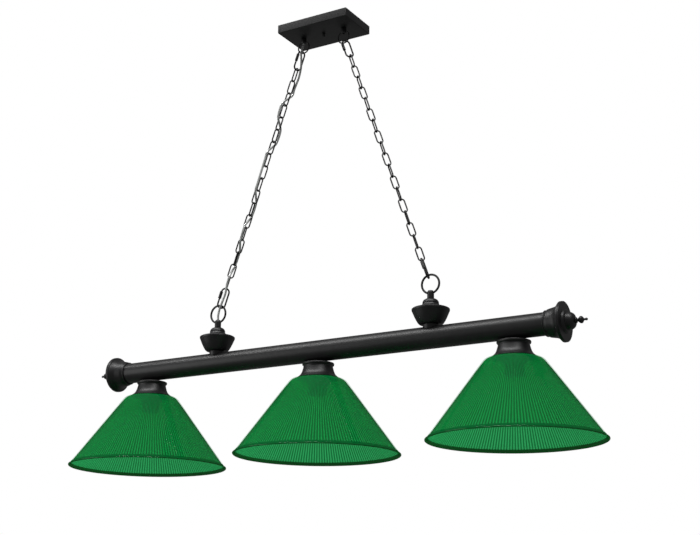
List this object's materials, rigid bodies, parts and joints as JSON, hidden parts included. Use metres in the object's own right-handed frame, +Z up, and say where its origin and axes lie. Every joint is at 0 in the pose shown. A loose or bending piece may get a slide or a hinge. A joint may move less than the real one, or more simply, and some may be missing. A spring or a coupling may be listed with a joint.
{
  "type": "pool table lamp",
  "caption": "Billiard table ceiling lamp: cone shades under a round bar that hangs on chains from a rectangular ceiling canopy.",
  "frame": {"origin": "middle of the mounting strap's top face, on the ceiling", "axes": "+X along the bar towards the end without the cord, +Y across the bar, +Z up"},
  "size_m": [1.2626, 0.3556, 0.9945],
  "materials": {
    "black_metal": "satin black powder coat",
    "zinc_steel": "zinc-plated steel",
    "chain_black": "satin black enamel over steel wire",
    "green_acrylic": "translucent green, glossy outside, fine radial ribs inside",
    "socket_plastic": "dark brown moulded plastic",
    "clear_cord": "clear silver sheath over twisted conductors"
  },
  "bodies": {
    "ceiling": {"ceiling_strap": "zinc_steel", "canopy_shell": "black_metal", "canopy_screw": "black_metal", "canopy_loop_left": "black_metal", "canopy_loop_right": "black_metal", "canopy_nut_left": "zinc_steel", "canopy_nut_right": "zinc_steel"},
    "top_links": {"quick_link_top_left": "chain_black", "quick_link_top_right": "chain_black"},
    "left_chain": {"chain_left_1": "chain_black", "chain_left_2": "chain_black", "chain_left_3": "chain_black", "chain_left_4": "chain_black", "chain_left_5": "chain_black", "chain_left_6": "chain_black", "quick_link_bottom_left": "chain_black", "supply_cord": "clear_cord"},
    "right_chain": {"chain_right_1": "chain_black", "chain_right_2": "chain_black", "chain_right_3": "chain_black", "chain_right_4": "chain_black", "chain_right_5": "chain_black", "chain_right_6": "chain_black", "quick_link_bottom_right": "chain_black"},
    "bar": {"bar_tube": "black_metal", "bar_wiring": "clear_cord", "hanger_cup_left": "black_metal", "hanger_cup_right": "black_metal", "hanger_cap_left": "black_metal", "hanger_cap_right": "black_metal", "hanger_loop_left": "black_metal", "hanger_loop_right": "black_metal", "hanger_nut_left": "zinc_steel", "hanger_nut_right": "zinc_steel", "end_bell_left": "black_metal", "end_bell_right": "black_metal", "end_plate_left": "black_metal", "end_plate_right": "black_metal", "finial_left": "black_metal", "finial_right": "black_metal", "shade_holder_left": "black_metal", "socket_left": "socket_plastic", "socket_nut_left": "zinc_steel", "shade_left": "green_acrylic", "shade_holder_middle": "black_metal", "socket_middle": "socket_plastic", "socket_nut_middle": "zinc_steel", "shade_middle": "green_acrylic", "shade_holder_right": "black_metal", "socket_right": "socket_plastic", "socket_nut_right": "zinc_steel", "shade_right": "green_acrylic"},
    "sleeve_top_left": {"sleeve_top_left": "chain_black"},
    "sleeve_top_right": {"sleeve_top_right": "chain_black"},
    "sleeve_bottom_left": {"sleeve_bottom_left": "chain_black"},
    "sleeve_bottom_right": {"sleeve_bottom_right": "chain_black"},
    "socket_ring_left": {"socket_ring_left": "socket_plastic"},
    "socket_ring_middle": {"socket_ring_middle": "socket_plastic"},
    "socket_ring_right": {"socket_ring_right": "socket_plastic"}
  },
  "joints": [
    {"name": "side_swing", "type": "hinge", "parent": "ceiling", "child": "top_links", "pos_m": [0, 0, -0.05578], "axis": [1, 0, 0], "range_deg": [-20, 20]},
    {"name": "long_swing", "type": "hinge", "parent": "top_links", "child": "left_chain", "pos_m": [-0.07285, 0, -0.09529], "axis": [0, 1, 0], "range_deg": [-8, 8], "deforming": ["supply_cord"]},
    {"name": "right_swing", "type": "hinge", "parent": "top_links", "child": "right_chain", "pos_m": [0.07285, 0, -0.09529], "axis": [0, 1, 0], "range_deg": [-9, 9]},
    {"name": "bar_level", "type": "hinge", "parent": "left_chain", "child": "bar", "pos_m": [-0.26432, 0, -0.6374], "axis": [0, 1, 0], "range_deg": [-3, 3]},
    {"name": "sleeve_top_left_slide", "type": "slide", "parent": "top_links", "child": "sleeve_top_left", "axis": [-0.333, 0, -0.9429], "range_m": [0, 0.009]},
    {"name": "sleeve_top_right_slide", "type": "slide", "parent": "top_links", "child": "sleeve_top_right", "axis": [0.333, 0, -0.9429], "range_m": [0, 0.009]},
    {"name": "sleeve_bottom_left_slide", "type": "slide", "parent": "left_chain", "child": "sleeve_bottom_left", "axis": [-0.333, 0, -0.9429], "range_m": [0, 0.009]},
    {"name": "sleeve_bottom_right_slide", "type": "slide", "parent": "right_chain", "child": "sleeve_bottom_right", "axis": [0.333, 0, -0.9429], "range_m": [0, 0.009]},
    {"name": "socket_ring_left_turn", "type": "hinge", "parent": "bar", "child": "socket_ring_left", "pos_m": [-0.4535, 0, -0.838], "axis": [0, 0, 1], "continuous": true},
    {"name": "socket_ring_middle_turn", "type": "hinge", "parent": "bar", "child": "socket_ring_middle", "pos_m": [0, 0, -0.838], "axis": [0, 0, 1], "continuous": true},
    {"name": "socket_ring_right_turn", "type": "hinge", "parent": "bar", "child": "socket_ring_right", "pos_m": [0.4535, 0, -0.838], "axis": [0, 0, 1], "continuous": true}
  ],
  "couplings": [
    {"joint": "right_swing", "follows": "long_swing", "ratio": 1},
    {"joint": "bar_level", "follows": "long_swing", "ratio": -0.2756}
  ]
}
